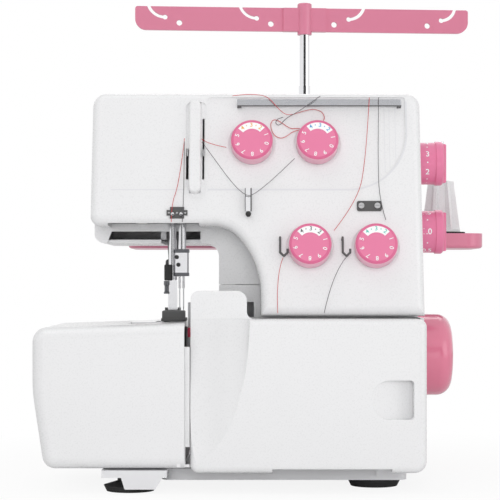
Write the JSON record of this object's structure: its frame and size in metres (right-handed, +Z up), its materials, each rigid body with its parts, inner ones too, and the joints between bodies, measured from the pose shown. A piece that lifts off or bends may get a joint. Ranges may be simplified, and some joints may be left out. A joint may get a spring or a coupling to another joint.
{
  "type": "overlock sewing machine",
  "caption": "Tabletop overlock sewing machine: white casing with pink dials and handwheel, opening looper cover, telescopic thread antenna and rear spool tray.",
  "frame": {"origin": "centre of the bounding footprint, on the table under the feet", "axes": "+X to the user's right, towards the handwheel; +Y away from the user, towards the spool tray; +Z up"},
  "size_m": [0.338, 0.282, 0.371],
  "materials": {
    "white_casing": "smooth white moulded plastic, satin gloss",
    "pink_plastic": "rose pink moulded plastic, satin gloss",
    "grey_plastic": "matt light grey moulded plastic",
    "black_plastic": "matt black plastic",
    "black_rubber": "matt black rubber",
    "cast_aluminium": "as cast, machined at the bores",
    "bright_steel": "bright plated steel",
    "ground_steel": "ground steel",
    "dark_steel": "blackened steel",
    "bronze": "sintered bronze",
    "motor_paint": "dark painted steel can",
    "lamp_glass": "frosted",
    "red_thread": "spun polyester thread",
    "grey_thread": "spun polyester thread"
  },
  "bodies": {
    "machine": {"front_panel": "white_casing", "rear_casing": "white_casing", "base_casing": "white_casing", "take_up_cover": "white_casing", "leg_bracket": "white_casing", "cone_holders": "white_casing", "spool_tray": "pink_plastic", "base_tray": "grey_plastic", "power_inlet": "black_plastic", "switch_frame": "black_plastic", "rubber_feet": "black_rubber", "spool_pads": "black_rubber", "timing_belt": "black_rubber", "main_frame": "cast_aluminium", "motor_bracket": "cast_aluminium", "antenna_lower_tube": "bright_steel", "thread_guide_bar": "bright_steel", "spool_pins": "bright_steel", "needle_plate": "ground_steel", "lower_knife": "ground_steel", "tension_posts": "ground_steel", "tension_discs": "ground_steel", "thread_guide_post": "ground_steel", "looper_thread_hooks": "ground_steel", "presser_spring": "ground_steel", "casing_screws": "ground_steel", "needle_thread_guide": "dark_steel", "looper_thread_guide": "dark_steel", "shaft_bushes": "bronze", "motor": "motor_paint", "lamp": "lamp_glass", "threads_red": "red_thread", "threads_grey": "grey_thread"},
    "drive_shaft": {"handwheel": "pink_plastic", "main_shaft": "ground_steel", "drive_pulley": "cast_aluminium"},
    "motor_rotor": {"motor_pulley": "cast_aluminium"},
    "antenna_tube": {"antenna_pole": "bright_steel"},
    "antenna_bar": {"antenna_guide_bar": "pink_plastic"},
    "left_needle_dial": {"tension_dial_left_needle": "pink_plastic"},
    "right_needle_dial": {"tension_dial_right_needle": "pink_plastic"},
    "upper_looper_dial": {"tension_dial_upper_looper": "pink_plastic"},
    "lower_looper_dial": {"tension_dial_lower_looper": "pink_plastic"},
    "stitch_dial": {"stitch_length_dial": "pink_plastic"},
    "feed_dial": {"differential_feed_dial": "pink_plastic"},
    "door_rail": {"hinge_rod": "ground_steel"},
    "looper_door": {"looper_cover": "white_casing"},
    "cloth_plate": {"side_cover": "white_casing"},
    "lifter": {"presser_lever": "black_plastic"},
    "presser": {"presser_bar": "bright_steel"},
    "foot": {"presser_foot": "dark_steel"},
    "needle_carrier": {"needle_bar": "bright_steel", "needle_clamp": "ground_steel", "needles": "bright_steel"},
    "take_up": {"take_up_lever": "ground_steel"},
    "upper_loop": {"upper_looper": "ground_steel"},
    "lower_loop": {"lower_looper": "ground_steel"},
    "knife": {"moving_knife": "ground_steel"},
    "feeder": {"feed_dogs": "ground_steel"},
    "rocker": {"power_switch": "black_plastic"}
  },
  "joints": [
    {"name": "handwheel_turn", "type": "hinge", "parent": "machine", "child": "drive_shaft", "pos_m": [0, 0, 0.09], "axis": [1, 0, 0], "continuous": true},
    {"name": "motor_turn", "type": "hinge", "parent": "machine", "child": "motor_rotor", "pos_m": [0, 0.018, 0.045], "axis": [1, 0, 0], "continuous": true},
    {"name": "antenna_slide", "type": "slide", "parent": "machine", "child": "antenna_tube", "axis": [0, 0, 1], "range_m": [-0.041, 0.075]},
    {"name": "antenna_bar_turn", "type": "hinge", "parent": "antenna_tube", "child": "antenna_bar", "pos_m": [0.0254, 0.076, 0.357], "axis": [0, 0, 1], "range_deg": [-8, 90]},
    {"name": "left_needle_dial_turn", "type": "hinge", "parent": "machine", "child": "left_needle_dial", "pos_m": [-0.0175, -0.08619, 0.2448], "axis": [0, -0.9681, 0.2504], "range_deg": [-216, 108]},
    {"name": "right_needle_dial_turn", "type": "hinge", "parent": "machine", "child": "right_needle_dial", "pos_m": [0.0295, -0.08619, 0.2448], "axis": [0, -0.9681, 0.2504], "range_deg": [-216, 108]},
    {"name": "upper_looper_dial_turn", "type": "hinge", "parent": "machine", "child": "upper_looper_dial", "pos_m": [0.0235, -0.10554, 0.17], "axis": [0, -0.9681, 0.2504], "range_deg": [-216, 108]},
    {"name": "lower_looper_dial_turn", "type": "hinge", "parent": "machine", "child": "lower_looper_dial", "pos_m": [0.07, -0.10554, 0.17], "axis": [0, -0.9681, 0.2504], "range_deg": [-216, 108]},
    {"name": "stitch_dial_turn", "type": "hinge", "parent": "machine", "child": "stitch_dial", "pos_m": [0.104, -0.033, 0.234], "axis": [1, 0, 0], "range_deg": [-60, 90]},
    {"name": "feed_dial_turn", "type": "hinge", "parent": "machine", "child": "feed_dial", "pos_m": [0.104, -0.033, 0.183], "axis": [1, 0, 0], "range_deg": [-40, 100]},
    {"name": "door_slide", "type": "slide", "parent": "machine", "child": "door_rail", "axis": [1, 0, 0], "range_m": [0, 0.008]},
    {"name": "door_swing", "type": "hinge", "parent": "door_rail", "child": "looper_door", "pos_m": [0, -0.126, 0.022], "axis": [1, 0, 0], "range_deg": [0, 85]},
    {"name": "cloth_plate_slide", "type": "slide", "parent": "machine", "child": "cloth_plate", "axis": [-1, 0, 0], "range_m": [0, 0.035]},
    {"name": "lifter_turn", "type": "hinge", "parent": "machine", "child": "lifter", "pos_m": [-0.076, -0.048, 0.182], "axis": [1, 0, 0], "range_deg": [0, 38.2]},
    {"name": "presser_lift", "type": "slide", "parent": "machine", "child": "presser", "axis": [0, 0, 1], "range_m": [0, 0.006], "deforming": ["presser_spring"]},
    {"name": "foot_rock", "type": "hinge", "parent": "presser", "child": "foot", "pos_m": [-0.075, -0.066, 0.1246], "axis": [-1, 0, 0], "range_deg": [0, 10]},
    {"name": "needle_stroke", "type": "slide", "parent": "machine", "child": "needle_carrier", "axis": [0, 0, 1], "range_m": [-0.027, 0]},
    {"name": "take_up_swing", "type": "hinge", "parent": "machine", "child": "take_up", "pos_m": [-0.058, -0.052, 0.238], "axis": [1, 0, 0], "range_deg": [0, 22]},
    {"name": "upper_loop_slide", "type": "slide", "parent": "machine", "child": "upper_loop", "axis": [-0.5, 0, 0.866], "range_m": [0, 0.016]},
    {"name": "lower_loop_swing", "type": "hinge", "parent": "machine", "child": "lower_loop", "pos_m": [-0.05, -0.06, 0.05], "axis": [0, 1, 0], "range_deg": [0, 11.5]},
    {"name": "knife_slide", "type": "slide", "parent": "machine", "child": "knife", "axis": [0, 0, 1], "range_m": [-0.008, 0]},
    {"name": "feed_slide", "type": "slide", "parent": "machine", "child": "feeder", "axis": [0, 1, 0], "range_m": [-0.004, 0]},
    {"name": "switch_rock", "type": "hinge", "parent": "machine", "child": "rocker", "pos_m": [0.101, 0.04, 0.054], "axis": [0, 1, 0], "range_deg": [-18, 0]}
  ],
  "couplings": [
    {"joint": "motor_turn", "follows": "handwheel_turn", "ratio": 2.8889},
    {"joint": "lifter_turn", "follows": "presser_lift", "rad_per_m": 110.5},
    {"joint": "take_up_swing", "follows": "needle_stroke", "rad_per_m": -14.2},
    {"joint": "upper_loop_slide", "follows": "needle_stroke", "ratio": -0.592},
    {"joint": "lower_loop_swing", "follows": "needle_stroke", "rad_per_m": -7.43},
    {"joint": "knife_slide", "follows": "needle_stroke", "ratio": 0.296},
    {"joint": "feed_slide", "follows": "needle_stroke", "ratio": 0.148}
  ]
}
